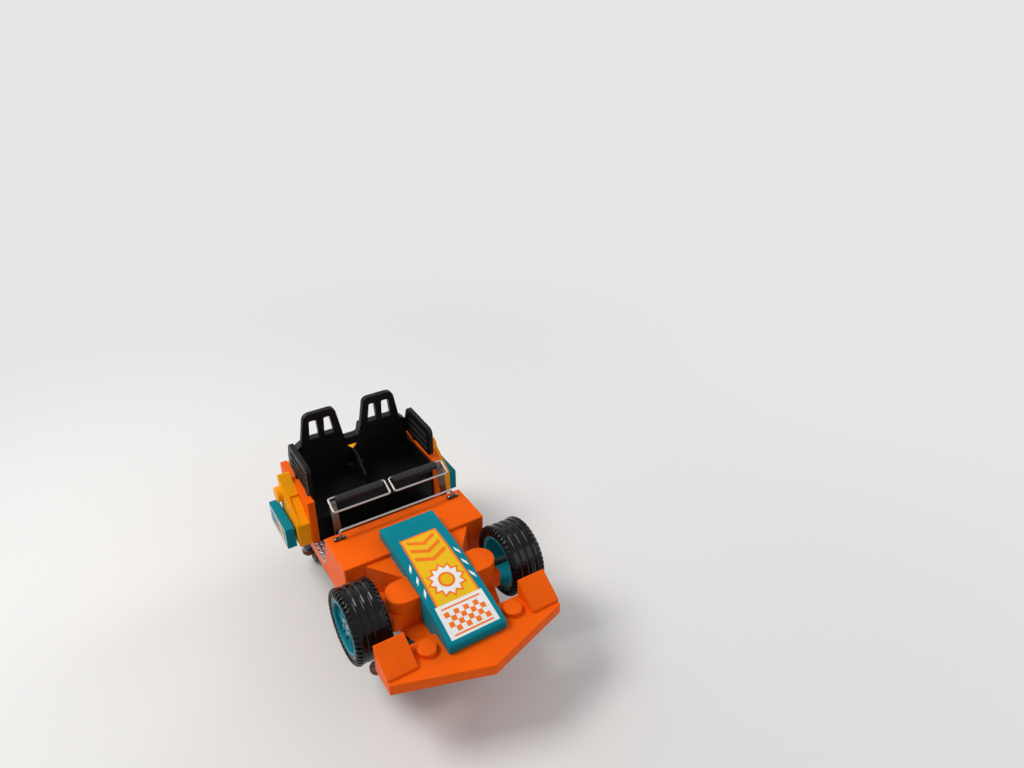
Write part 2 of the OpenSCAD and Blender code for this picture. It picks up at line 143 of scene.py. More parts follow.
def outward(obj):
    """Merges doubles and turns all faces of a closed shell outwards."""
    open_mesh(obj)
    bpy.ops.mesh.select_all(action="SELECT")
    bpy.ops.mesh.remove_doubles(threshold=MERGE_GAP)
    bpy.ops.mesh.normals_make_consistent(inside=False)
    close_mesh()


def modify(obj, kind, **settings):
    """Gives the piece a modifier with these settings and applies it."""
    focus(obj)
    modifier = obj.modifiers.new(kind.lower(), kind)
    for key, value in settings.items():
        setattr(modifier, key, value)
    bpy.ops.object.modifier_apply(modifier=modifier.name)
    return obj


def soften(obj, width, steps=3, angle=32):
    """Rounds the sharp edges as a mould or a file would."""
    return modify(obj, "BEVEL", width=width, segments=steps, limit_method="ANGLE",
                  angle_limit=math.radians(angle), miter_outer="MITER_ARC")


def roll_edges(obj, test, width, steps):
    """Rounds only the edges that pass the test, to the full width."""
    open_mesh(obj)
    pick(obj, test, "EDGE")
    bpy.ops.mesh.bevel(offset=width, segments=steps, clamp_overlap=False, affect="EDGES")
    close_mesh()


def smooth(obj, angle=38):
    focus(obj)
    bpy.ops.object.shade_smooth_by_angle(angle=math.radians(angle))
    return obj


def even_faces(obj):
    """Shades wide flat faces flat between their softened edges."""
    return modify(obj, "WEIGHTED_NORMAL", keep_sharp=True)


def coat(obj, *finishes):
    obj.data.materials.clear()
    for surface in finishes:
        obj.data.materials.append(surface)
    return obj


def joined(parts, name):
    clear()
    for part in parts:
        part.select_set(True)
    bpy.context.view_layer.objects.active = parts[0]
    if len(parts) > 1:
        bpy.ops.object.join()
    obj = bpy.context.object
    obj.name = obj.data.name = name
    return obj


def placed(mesh, name):
    obj = bpy.data.objects.new(name, mesh)
    bpy.context.scene.collection.objects.link(obj)
    return obj


def copied(master, places, name):
    """One joined piece with a copy of the master, each with its own mesh, at every place."""
    parts = []
    for place in places:
        mesh = master.data.copy()
        mesh.transform(place)
        parts.append(placed(mesh, name))
    bpy.data.objects.remove(master, do_unlink=True)
    return joined(parts, name)


def mirrored(obj, name):
    """The same piece for the other side of the car."""
    mesh = obj.data.copy()
    mesh.transform(Matrix.Scale(-1, 4, X))
    mesh.flip_normals()
    return placed(mesh, name)


def block(name, low, high):
    """A plain block between two corners."""
    middle, size = (Vector(low) + Vector(high)) / 2, Vector(high) - Vector(low)
    return begin(bpy.ops.mesh.primitive_cube_add, name, size=1, location=middle, scale=size)


def aim(position, axis):
    """Matrix that stands a piece made along +Z at a place, along an axis."""
    return Matrix.Translation(position) @ Z.rotation_difference(Vector(axis)).to_matrix().to_4x4()


def fit(obj, body, slot, *replaced):
    """Fixes a finished piece to a body of the car, in place of the nodes that it stands for."""
    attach(obj, body)
    if replaced:
        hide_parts(*replaced)
    return obj


# Finishes.
COAT_ROUGHNESS = 0.12
SCUFF_STRETCH, SCUFF_TURN = (9.0, 60.0, 25.0), (0.3, 0.2, 0.7)
DUST = (0.30, 0.27, 0.24)
WAVE_SCALE = 7.0


def shader_node(tree, kind, values=None, **settings):
    """A new shader node with its settings and the values of its sockets."""
    node = tree.nodes.new("ShaderNode" + kind)
    for key, value in settings.items():
        setattr(node, key, value)
    for socket, value in (values or {}).items():
        node.inputs[socket].default_value = value
    return node


def finish(name, colour, rough=0.4, metal=0.0, coat_weight=0.0, shade=0.1, patch=5.0, rough_swing=0.08,
           grain=400.0, grain_depth=0.0, wave=0.0, dust=0.0, scuff=0.0, scuff_colour=None, mirror=0.3):
    """A surface with soft patches of tone, uneven gloss, a fine grain, settled dust and light scuffs."""
    surface = bpy.data.materials.new(name)
    surface.use_nodes = True
    tree = surface.node_tree
    link = tree.links.new
    shader = tree.nodes["Principled BSDF"]
    for socket, value in (("Metallic", metal), ("Specular IOR Level", mirror), ("Coat Weight", coat_weight),
                          ("Coat Roughness", COAT_ROUGHNESS)):
        shader.inputs[socket].default_value = value
    where = shader_node(tree, "TexCoord").outputs["Object"]

    def noise(scale, detail=3.0, at=where):
        node = shader_node(tree, "TexNoise", {"Scale": scale, "Detail": detail})
        link(at, node.inputs["Vector"])
        return node.outputs["Fac"]

    def ranged(value, low, high, to_low, to_high):
        node = shader_node(tree, "MapRange", {"From Min": low, "From Max": high, "To Min": to_low, "To Max": to_high})
        link(value, node.inputs["Value"])
        return node.outputs["Result"]

    def mixed(amount, first, second):
        node = shader_node(tree, "Mix", data_type="RGBA")
        link(amount, node.inputs["Factor"])
        for socket, value in ((node.inputs["A"], first), (node.inputs["B"], second)):
            if isinstance(value, tuple):
                socket.default_value = (*value, 1.0)
            else:
                link(value, socket)
        return node.outputs["Result"]

    def times(first, second):
        node = shader_node(tree, "Math", operation="MULTIPLY")
        link(first, node.inputs[0])
        link(second, node.inputs[1])
        return node.outputs[0]

    # Soft patches of tone, and of gloss on a scale of their own.
    dark = tuple(c * (1 - shade) for c in colour)
    light = tuple(min(1.0, c * (1 + shade * 0.6)) for c in colour)
    tone = mixed(ranged(noise(patch, 4.0), 0.35, 0.65, 0.0, 1.0), dark, light)
    gloss = ranged(noise(patch * 3.1, 5.0), 0.3, 0.7, max(0.02, rough - rough_swing), min(1.0, rough + rough_swing))
    # Fine rubbed streaks, in some places only.
    if scuff > 0:
        streaks = shader_node(tree, "Mapping", {"Scale": SCUFF_STRETCH, "Rotation": SCUFF_TURN})
        link(where, streaks.inputs["Vector"])
        fine = noise(1.6, 6.0, at=streaks.outputs["Vector"])
        mark = times(ranged(fine, 0.63, 0.70, 0.0, scuff), ranged(noise(2.3), 0.5, 0.62, 0.0, 1.0))
        tone = mixed(mark, tone, scuff_colour or tuple(min(1.0, c * 1.5 + 0.04) for c in colour))
    # Dust on what faces up.
    if dust > 0:
        facing = shader_node(tree, "SeparateXYZ")
        link(shader_node(tree, "NewGeometry").outputs["Normal"], facing.inputs["Vector"])
        upward = ranged(facing.outputs["Z"], 0.35, 1.0, 0.0, dust)
        tone = mixed(times(upward, ranged(noise(9.0, 6.0), 0.3, 0.75, 0.2, 1.0)), tone, DUST)
    link(tone, shader.inputs["Base Color"])
    link(gloss, shader.inputs["Roughness"])
    # Relief: the fine grain, then a slow wave of the whole surface.
    relief = None
    for scale, depth in ((grain, grain_depth), (WAVE_SCALE, wave)):
        if depth > 0:
            bump = shader_node(tree, "Bump", {"Strength": 1.0, "Distance": depth})
            link(noise(scale), bump.inputs["Height"])
            if relief:
                link(relief, bump.inputs["Normal"])
            relief = bump.outputs["Normal"]
    if relief:
        link(relief, shader.inputs["Normal"])
    return surface


ORANGE, TEAL, AMBER = (0.87, 0.112, 0.0025), (0.001, 0.205, 0.262), (0.93, 0.36, 0.003)
GELCOAT = dict(coat_weight=0.02, patch=3.0, grain=900.0, grain_depth=0.00002, dust=0.006, mirror=0.05)
orange_gelcoat = finish("orange_gelcoat", ORANGE, rough=0.36, shade=0.05, wave=0.0006, scuff=0.22, **GELCOAT)
teal_gelcoat = finish("teal_gelcoat", TEAL, rough=0.34, shade=0.08, wave=0.0005, scuff=0.18, **GELCOAT)
amber_gelcoat = finish("amber_gelcoat", AMBER, rough=0.38, shade=0.05, wave=0.0005, scuff=0.18, **GELCOAT)
rim_teal = finish("rim_teal", (0.001, 0.215, 0.28), rough=0.34, coat_weight=0.06, shade=0.08, patch=9.0,
                  grain=900.0, grain_depth=0.00003, dust=0.02, scuff=0.2, mirror=0.25)

black_shell = finish("black_shell", (0.0042, 0.0036, 0.0042), rough=0.46, shade=0.25, patch=4.0,
                     grain=1400.0, grain_depth=0.00012, wave=0.0004, dust=0.008, scuff=0.12, mirror=0.16)
foam_sleeve = finish("foam_sleeve", (0.006, 0.0055, 0.006), rough=0.5, shade=0.2, patch=9.0,
                     grain=2200.0, grain_depth=0.00012, dust=0.02, mirror=0.35)
tyre_black = finish("tyre_black", (0.0035, 0.0032, 0.0038), rough=0.13, rough_swing=0.03, shade=0.25, patch=6.0,
                    grain=1100.0, grain_depth=0.00005, wave=0.0006, dust=0.006, scuff=0.12, mirror=0.2)
wheel_plastic = finish("wheel_plastic", (0.16, 0.022, 0.012), rough=0.4, shade=0.2, patch=20.0,
                       grain=1500.0, grain_depth=0.00005, scuff=0.5)

floor_grit = finish("floor_grit", (0.008, 0.008, 0.008), rough=0.8, shade=0.3,
                    grain=700.0, grain_depth=0.0006, dust=0.15, mirror=0.2)
frame_coat = finish("frame_coat", (0.02, 0.022, 0.025), rough=0.45, shade=0.2,
                    grain=500.0, grain_depth=0.00006, dust=0.15, scuff=0.4)
bogie_coat = finish("bogie_coat", (0.05, 0.053, 0.06), rough=0.5, shade=0.2,
                    grain=500.0, grain_depth=0.00008, dust=0.15, scuff=0.5)

tread_metal = finish("tread_metal", (0.62, 0.63, 0.65), rough=0.3, metal=1.0, shade=0.15, patch=12.0,
                     grain=600.0, grain_depth=0.00005, scuff=0.6, scuff_colour=(0.2, 0.19, 0.18), mirror=0.5)
bright_steel = finish("bright_steel", (0.37, 0.35, 0.345), rough=0.45, rough_swing=0.05, metal=1.0, shade=0.06,
                      patch=9.0, grain=2500.0, grain_depth=0.000008, scuff=0.3, scuff_colour=(0.35, 0.34, 0.33),
                      mirror=0.5)
arm_grey = finish("arm_grey", (0.17, 0.163, 0.16), rough=0.34, metal=1.0, shade=0.1, patch=8.0,
                  grain=1500.0, grain_depth=0.00002, scuff=0.5)
bronze_plate = finish("bronze_plate", (0.045, 0.030, 0.018), rough=0.35, metal=0.6, shade=0.2, patch=30.0,
                      grain=1500.0, grain_depth=0.00004, scuff=0.3, mirror=0.4)
hub_steel = finish("hub_steel", (0.35, 0.36, 0.37), rough=0.35, metal=1.0, shade=0.15, patch=20.0,
                   grain=1500.0, grain_depth=0.00003, scuff=0.4, mirror=0.5)
zinc_bolt = finish("zinc_bolt", (0.60, 0.58, 0.54), rough=0.28, metal=1.0, shade=0.15, patch=60.0,
                   grain=2500.0, grain_depth=0.00002, mirror=0.5)

FOIL = dict(rough=0.3, scuff=0.2)
film_white = finish("film_white", (0.80, 0.79, 0.77), shade=0.03, scuff_colour=(0.5, 0.48, 0.45), **FOIL)
film_yellow = finish("film_yellow", (0.80, 0.47, 0.002), shade=0.04, **FOIL)
film_orange = finish("film_orange", (0.86, 0.17, 0.003), shade=0.04, **FOIL)
film_pink = finish("film_pink", (0.70, 0.09, 0.15), shade=0.04, **FOIL)

FINISH_OF_SLOT = {
    "orange_body": orange_gelcoat, "teal_body": teal_gelcoat, "amber_body": amber_gelcoat, "black_shell": black_shell,
    "floor_coat": floor_grit, "frame_paint": frame_coat, "bogie_paint": bogie_coat, "tread_plate": tread_metal,
    "bright_tube": bright_steel, "bar_steel": arm_grey, "bar_foam": foam_sleeve, "rim_paint": rim_teal,
    "show_tyre": tyre_black, "wheel_tread": wheel_plastic}


# Body panels.
FLAT_ENOUGH = math.radians(0.4)


def panel(node, width, steps=3, angle=32, first=None):
    """A copy of a CAD node with merged faces and softened edges, in its own finish, standing for that node."""
    piece = placed(nodes[node].data.copy(), node + "_skin")
    open_mesh(piece)
    bpy.ops.mesh.select_all(action="SELECT")
    bpy.ops.mesh.remove_doubles(threshold=MERGE_GAP)
    if width:
        bpy.ops.mesh.dissolve_limited(angle_limit=FLAT_ENOUGH)
    close_mesh()
    if first:
        first(piece)
    if width:
        soften(piece, width, steps, angle)
    even_faces(smooth(piece))
    coat(piece, FINISH_OF_SLOT[slot_of_node[node]])
    return fit(piece, body_of_node[node], slot_of_node[node], node)


# Width of the softened edges, by node.
EDGE_OF_NODE = {
    "chassis_frame": 0, "floor_pan": 0.002, "body_sides": 0.010, "cowl": 0.011, "bulkhead": 0.002, "nose": 0.016,
    "front_wing": 0.012, "stub_axles": 0.002, "side_liners": 0.004, "side_pods": 0.009, "outboard_boxes": 0.009,
    "rear_deck": 0.004, "seats": 0.014, "head_hoops": 0.013, "bolsters": 0.012, "lap_bar_pivots": 0.002,
    "left_bar_arm": 0.003, "right_bar_arm": 0.003, "left_rim": 0.002, "right_rim": 0.002, "front_bogie": 0.002,
    "rear_bogie": 0.002}


def body_panels():
    for node, width in EDGE_OF_NODE.items():
        panel(node, width)


def pair_of_panels(left, node):
    """The left half of a body panel and its mirror image, standing for the node."""
    even_faces(smooth(left))
    coat(left, orange_gelcoat)
    fit(joined([left, mirrored(left, "twin")], node + "_skin"), "car", "orange_body", node)


WEDGE_LOW, WEDGE_HIGH, WEDGE_TIP_Z = (0.453, -1.183, 0.725), (0.677, -0.967, 0.880), 0.746
WEDGE_TOP_ROLL, WEDGE_CORNER_ROLL, WEDGE_RIM_ROLL = 0.018, 0.015, 0.008
BOSS_AT, BOSS_R, BOSS_H, BOSS_ROLL = (0.341, -1.082, 0.745), 0.070, 0.040, 0.009


def wing_blocks():
    """Wedges on the wing's ends with rolled edges, and a round boss inboard of each."""
    wedge = block("wing_wedges", WEDGE_LOW, WEDGE_HIGH)
    top = WEDGE_HIGH[2] - 0.010
    open_mesh(wedge)
    pick(wedge, lambda middle, run: middle.z > top and middle.y < WEDGE_LOW[1] + NEAR, "EDGE")
    shift(0, 0, WEDGE_TIP_Z - WEDGE_HIGH[2])
    close_mesh()
    roll_edges(wedge, lambda middle, run: middle.z > top, WEDGE_TOP_ROLL, 6)
    roll_edges(wedge, lambda middle, run: abs(run.z) > 0.015 and abs(run.y) < NEAR, WEDGE_CORNER_ROLL, 6)
    open_mesh(wedge)
    pick(wedge, lambda middle, normal: normal.z > 0.2)
    bpy.ops.mesh.region_to_loop()
    bpy.ops.mesh.bevel(offset=WEDGE_RIM_ROLL, segments=4, clamp_overlap=False, affect="EDGES")
    close_mesh()
    boss = begin(bpy.ops.mesh.primitive_cylinder_add, "boss", vertices=64, radius=BOSS_R, depth=BOSS_H,
                 location=BOSS_AT)
    roll_edges(boss, lambda middle, run: middle.z > BOSS_AT[2] + 0.015, BOSS_ROLL, 5)
    pair_of_panels(joined([wedge, boss], "wing_blocks_left"), "wing_blocks")


POD_X, POD_Y, POD_R, POD_IN = 0.318, -0.645, 0.117, 0.228
POD_Z, POD_H, POD_ROLL = 0.812, 0.160, 0.007
BASE_OUT, BASE_REAR, BASE_LOW, BASE_TOP = 0.445, 0.090, 0.655, 0.777
BASE_CORNER_ROLL, BASE_RIM_ROLL = 0.022, 0.006


def suspension_pods():
    """Pods between the nose and the wheels: a round ended top over a low block."""
    def outboard(middle):
        return middle.x > POD_IN + NEAR
    top = begin(bpy.ops.mesh.primitive_cylinder_add, "pod_top", vertices=64, radius=POD_R, depth=POD_H,
                location=(POD_X, POD_Y, POD_Z))
    open_mesh(top)
    pick(top, lambda place, normal: place.x < POD_X - NEAR, "VERT")
    bpy.ops.transform.resize(value=(0, 1, 1), center_override=(POD_IN, POD_Y, POD_Z))
    close_mesh()
    roll_edges(top, lambda middle, run: middle.z > POD_Z + POD_H / 2 - NEAR and outboard(middle), POD_ROLL, 4)
    base = block("pod_low", (POD_IN, POD_Y - POD_R, BASE_LOW), (BASE_OUT, POD_Y + BASE_REAR, BASE_TOP))
    roll_edges(base, lambda middle, run: abs(run.z) > 0.01 and middle.x > BASE_OUT - 0.005, BASE_CORNER_ROLL, 6)
    roll_edges(base, lambda middle, run: middle.z > BASE_TOP - NEAR and outboard(middle), BASE_RIM_ROLL, 3)
    pod = modify(top, "BOOLEAN", operation="UNION", solver="EXACT", object=base)
    bpy.data.objects.remove(base, do_unlink=True)
    pair_of_panels(pod, "suspension_pods")


# Tubes bent from a circle: straight runs are extruded, bends are spun.
TUBE_SIDES, BEND_STEPS = 20, 8


def bent_tube(name, start, heading, radius, steps, closed=False):
    place = aim(start, heading)
    tube = begin(bpy.ops.mesh.primitive_circle_add, name, vertices=TUBE_SIDES, radius=radius,
                 location=place.translation, rotation=place.to_euler())
    open_mesh(tube)
    bpy.ops.mesh.select_all(action="SELECT")
    at, along = Vector(start), Vector(heading).normalized()
    for step in steps:
        if step[0] == "run":
            bpy.ops.mesh.extrude_edges_move(TRANSFORM_OT_translate={"value": along * step[1]})
            at = at + along * step[1]
        else:
            side, bend = Vector(step[1]).normalized(), step[2]
            middle, axis = at + side * bend, along.cross(side)
            turn = Matrix.Rotation(QUARTER, 4, axis)
            bpy.ops.mesh.spin(steps=BEND_STEPS, angle=-QUARTER, center=middle, axis=axis)
            at, along = middle + turn @ (at - middle), turn @ along
    if not closed:
        bpy.ops.mesh.select_mode(type="EDGE")
        mesh = bmesh.from_edit_mesh(tube.data)
        for edge in mesh.edges:
            edge.select_set(edge.is_boundary)
        bmesh.update_edit_mesh(tube.data)
        bpy.ops.mesh.fill()
    close_mesh()
    outward(tube)
    return tube


RAIL_X, RAIL_Y, RAIL_Z = 0.482, 0.08, 0.912
RAIL_TUBE, RAIL_BEND, RAIL_RISE, RAIL_SPAN = 0.010, 0.024, 0.046, 0.916
FOOT_X, FOOT_Y, FOOT_Z = 0.489, 0.082, 0.902
FOOT_LENGTH, FOOT_WIDTH, FOOT_THICK, FOOT_CORNER = 0.094, 0.040, 0.012, 0.010
FOOT_RIM, FOOT_RISE = 0.004, 0.0015


def grab_rail():
    rail = bent_tube("grab_rail_tube", (RAIL_X, RAIL_Y, RAIL_Z), Z, RAIL_TUBE,
                     [("run", RAIL_RISE), ("bend", -X, RAIL_BEND), ("run", RAIL_SPAN), ("bend", -Z, RAIL_BEND),
                      ("run", RAIL_RISE)])
    smooth(rail)
    coat(rail, bright_steel)
    fit(rail, "car", "bright_tube", "grab_rail")
    foot = begin(bpy.ops.mesh.primitive_cube_add, "rail_foot", size=1, location=(0, 0, FOOT_THICK / 2),
                 scale=(FOOT_LENGTH, FOOT_WIDTH, FOOT_THICK))
    open_mesh(foot)
    pick(foot, lambda middle, run: abs(run.z) > 0.005, "EDGE")
    bpy.ops.mesh.bevel(offset=FOOT_CORNER, segments=4)
    pick(foot, faces_up)
    bpy.ops.mesh.inset(thickness=FOOT_RIM)
    shift(0, 0, FOOT_RISE)
    close_mesh()
    soften(foot, FINE_EDGE, 2)
    smooth(foot)
    coat(foot, bronze_plate)
    feet = copied(foot, [Matrix.Translation((s * FOOT_X, FOOT_Y, FOOT_Z)) for s in (-1, 1)], "grab_rail_feet")
    fit(feet, "car", "bright_tube", "grab_rail")


# Fasteners, each made along +Z from the origin.
WASHER_SHARE, WASHER_SPREAD, ROUND_SIDES = 0.25, 1.35, 24


def bolt_head(name, radius, height):
    """A hexagon bolt head with chamfered corners on a round washer."""
    washer_h, head_h = height * WASHER_SHARE, height * (1 - WASHER_SHARE)
    washer = begin(bpy.ops.mesh.primitive_cylinder_add, "washer", vertices=ROUND_SIDES, radius=radius * WASHER_SPREAD,
                   depth=washer_h, location=(0, 0, washer_h / 2))
    soften(washer, height * 0.06, 2)
    head = begin(bpy.ops.mesh.primitive_cylinder_add, name, vertices=6, radius=radius, depth=head_h,
                 location=(0, 0, washer_h + head_h / 2))
    open_mesh(head)
    pick(head, faces_up)
    bpy.ops.mesh.inset(thickness=radius * 0.12)
    shift(0, 0, height * 0.08)
    bpy.ops.mesh.inset(thickness=radius * 0.18)
    shift(0, 0, -height * 0.05)
    close_mesh()
    smooth(head, 25)
    smooth(washer)
    return coat(joined([head, washer], name), zinc_bolt)


def screw_head(name, radius, height):
    """A low domed screw head with a socket."""
    head = begin(bpy.ops.mesh.primitive_cylinder_add, name, vertices=ROUND_SIDES, radius=radius, depth=height,
                 location=(0, 0, height / 2))
    open_mesh(head)
    pick(head, faces_up)
    bpy.ops.mesh.inset(thickness=radius * 0.25)
    shift(0, 0, height * 0.35)
    bpy.ops.mesh.inset(thickness=radius * 0.35)
    bpy.ops.mesh.extrude_region_move(TRANSFORM_OT_translate={"value": (0, 0, -height * 0.6)})
    close_mesh()
    smooth(head, 30)
    return coat(head, zinc_bolt)


def fastener_set(name, body, slot, master, spots):
    """Copies of one fastener at (place, axis) spots, as one piece."""
    return fit(copied(master, [aim(at, axis) for at, axis in spots], name), body, slot)


# Lap bars.
BAR_FRONT, BAR_REAR = Vector((0, 0.149, 1.110)), Vector((0, 0.269, 1.157))
BAR_OUTER, BAR_INNER, BAR_BEND, BAR_TUBE = 0.486, 0.020, 0.016, 0.009
PAD_Y, PAD_Z, PAD_R, PAD_GAP = 0.245, 1.147, 0.0335, 0.002
PAD_SIDES, PAD_CUTS, PAD_END_RIM, PAD_END_ROLL = 48, 31, 0.009, 0.007
PAD_RIPPLE, PAD_CROWN = 0.0007, 0.0015
# Waves of the unevenness, as (round the sleeve, along its half).
RIPPLE_WAVES = ((9, 7), (2, 23))
SEAM_AT, SEAM_WIDTH, SEAM_DEPTH = 0.93, 0.012, 0.0022


def bar_loop():
    """The left bar's closed tube loop, bent flat and then tilted as it sits when raised."""
    depth = (BAR_REAR - BAR_FRONT).length
    tilt = math.atan2(BAR_REAR.z - BAR_FRONT.z, BAR_REAR.y - BAR_FRONT.y)
    across, along = BAR_OUTER - BAR_INNER - 2 * BAR_BEND, depth - 2 * BAR_BEND
    loop = bent_tube("left_bar_loop", (BAR_INNER + BAR_BEND, 0, 0), X, BAR_TUBE,
                     [("run", across), ("bend", Y, BAR_BEND), ("run", along), ("bend", -X, BAR_BEND),
                      ("run", across), ("bend", -Y, BAR_BEND), ("run", along), ("bend", X, BAR_BEND)], closed=True)
    loop.data.transform(Matrix.Translation(BAR_FRONT) @ Matrix.Rotation(tilt, 4, "X"))
    smooth(loop)
    return coat(loop, bright_steel)


def bar_sleeve():
    """The left bar's foam sleeve: a slightly uneven, crowned cylinder with a pressed seam near each end."""
    low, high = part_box("left_bar_pad")
    middle_x, half = (low.x + high.x) / 2, (high.x - low.x) / 2 - PAD_GAP
    pad = begin(bpy.ops.mesh.primitive_cylinder_add, "left_bar_sleeve", vertices=PAD_SIDES, radius=PAD_R,
                depth=high.x - low.x - 2 * PAD_GAP, end_fill_type="NGON", location=(middle_x, PAD_Y, PAD_Z),
                rotation=(0, QUARTER, 0))
    open_mesh(pad)
    pick(pad, lambda middle, normal: abs(normal.x) > 0.9)
    bpy.ops.mesh.inset(thickness=PAD_END_RIM)
    pick(pad, lambda middle, run: abs(run.x) > 0.1, "EDGE")
    bpy.ops.mesh.subdivide(number_cuts=PAD_CUTS)
    close_mesh()
    for point in pad.data.vertices:
        s = (point.co.x - middle_x) / half
        out = Vector((0, point.co.y - PAD_Y, point.co.z - PAD_Z))
        around = math.atan2(out.z, out.y)
        ripple = PAD_RIPPLE
        for waves_round, waves_along in RIPPLE_WAVES:
            ripple *= math.sin(waves_round * around + waves_along * s)
        seam = -SEAM_DEPTH * math.exp(-((abs(s) - SEAM_AT) / SEAM_WIDTH) ** 2)
        size = 1 + (ripple + seam - PAD_CROWN * s * s) / PAD_R
        point.co.y, point.co.z = PAD_Y + out.y * size, PAD_Z + out.z * size
    soften(pad, PAD_END_ROLL, 4, 50)
    smooth(pad, 50)
    return coat(pad, foam_sleeve)


def lap_bars():
    loop, pad = bar_loop(), bar_sleeve()
    for side, s in SIDES:
        tube = loop if s > 0 else mirrored(loop, "right_bar_loop")
        sleeve = pad if s > 0 else mirrored(pad, "right_bar_sleeve")
        fit(tube, side + "_bar", "bright_tube", side + "_bar_frame")
        fit(sleeve, side + "_bar", "bar_foam", side + "_bar_pad")


# Big show wheels.
SHOW_Y, SHOW_Z = -0.612, 0.740
TYRE_R, TYRE_IN, TYRE_OUT = 0.280, 0.487, 0.760
GROOVE_PITCH, GROOVE_HALF, SLOPE_W, SLOPE_DROP = 0.058, 0.004, 0.009, 0.0042
GROOVES = [(TYRE_IN + TYRE_OUT) / 2 + x for x in (-GROOVE_PITCH, 0, GROOVE_PITCH)]
TYRE_EDGE, SLOPE_CREASE = 0.0012, 12
LUGS, LUG_TAPER, LUG_EDGE = 44, 0.3, 0.0016
LARGE_HALF, LARGE_THICK, SMALL_HALF, SMALL_THICK = 0.0125, 0.0085, 0.0075, 0.0070
# Blocks on the shoulder as (depth from the tyre's face, radius) from the tread down the sidewall.
LARGE_LUG = [(0.040, 0.2800), (0.024, 0.2785), (0.0115, 0.2710), (0.0040, 0.2590), (0.0008, 0.2470)]
SMALL_LUG = [(0.0012, 0.2500), (0.0014, 0.2400), (0.0026, 0.2290)]
NUT_X, NUT_R, NUT_H, NUT_CROWN, NUT_SLOPE, NUT_RIM, NUT_SOCKET = 0.722, 0.021, 0.006, 0.002, 0.006, 0.003, 0.003
HUB_FACE_X, HUB_BOLT_RING, HUB_BOLTS = 0.732, 0.052, 6


def slope_ribs(tyre):
    """Slopes the ribs down to the grooves: a cut round the tread beside each groove, then its lips drawn in."""
    def off_axle(place):
        return math.hypot(place.y - SHOW_Y, place.z - SHOW_Z)
    s = 1 if tyre.data.vertices[0].co.x > 0 else -1
    open_mesh(tyre)
    for groove in GROOVES:
        for side in (-1, 1):
            pick(tyre, lambda middle, normal: off_axle(middle) > TYRE_R - 0.002)
            cut = s * (groove + side * (GROOVE_HALF + SLOPE_W))
            bpy.ops.mesh.bisect(plane_co=(cut, 0, 0), plane_no=X, threshold=CUT_GAP)
    pick(tyre, lambda place, normal: off_axle(place) > TYRE_R - 0.0015
         and min(abs(abs(place.x) - groove) for groove in GROOVES) < GROOVE_HALF + 0.0005, "VERT")
    shrink = (TYRE_R - SLOPE_DROP) / TYRE_R
    bpy.ops.transform.resize(value=(1, shrink, shrink), center_override=(0, SHOW_Y, SHOW_Z))
    close_mesh()


def tyre_body(node):
    """The tyre with sloped ribs, its edges softened and its slopes kept crisp."""
    return even_faces(smooth(panel(node, TYRE_EDGE, 2, 40, first=slope_ribs), SLOPE_CREASE))


def tyre_block(profile, half, thick):
    """A block bent along the tyre's shoulder, narrower towards the rim."""
    last = len(profile) - 1
    lug = begin(bpy.ops.mesh.primitive_plane_add, "lug", size=1, location=(0, 0, 0))
    open_mesh(lug)
    pick(lug, lambda middle, run: middle.x > 0.4, "EDGE")
    for step in range(last - 1):
        bpy.ops.mesh.extrude_region_move(TRANSFORM_OT_translate={"value": X})
    close_mesh()
    for point in lug.data.vertices:
        k = min(last, max(0, round(point.co.x + 0.5)))
        depth, radius = profile[k]
        point.co = Vector((depth, math.copysign(half * (1 - LUG_TAPER * k / last), point.co.y), radius))
    modify(lug, "SOLIDIFY", thickness=thick, offset=0.0)
    outward(lug)
    soften(lug, LUG_EDGE, 2, 40)
    smooth(lug)
    return coat(lug, tyre_black)


def shoulder_lugs(name):
    """Rows of blocks on both shoulders of the tyre: large ones at the tread's edge, small ones between them below."""
    rings = []
    for lug, turn in ((tyre_block(LARGE_LUG, LARGE_HALF, LARGE_THICK), 0.0),
                      (tyre_block(SMALL_LUG, SMALL_HALF, SMALL_THICK), 0.5)):
        places = []
        for i in range(LUGS):
            for face, flip in ((TYRE_OUT, -1), (TYRE_IN, 1)):
                spin = Matrix.Rotation((i + turn + (0.5 if flip > 0 else 0.0)) * 2 * math.pi / LUGS, 4, "X")
                places.append(Matrix.Translation((face, SHOW_Y, SHOW_Z)) @ spin @ Matrix.Scale(flip, 4, X))
        rings.append(copied(lug, places, name))
    ring = joined(rings, name)
    outward(ring)
    return ring


def show_wheels():
    for side in ("left", "right"):
        tyre_body(side + "_tyre")
    ring = shoulder_lugs("left_tyre_lugs")
    twin = mirrored(ring, "right_tyre_lugs")
    fit(ring, "left_show_wheel", "show_tyre")
    fit(twin, "right_show_wheel", "show_tyre")
    hub_fittings()


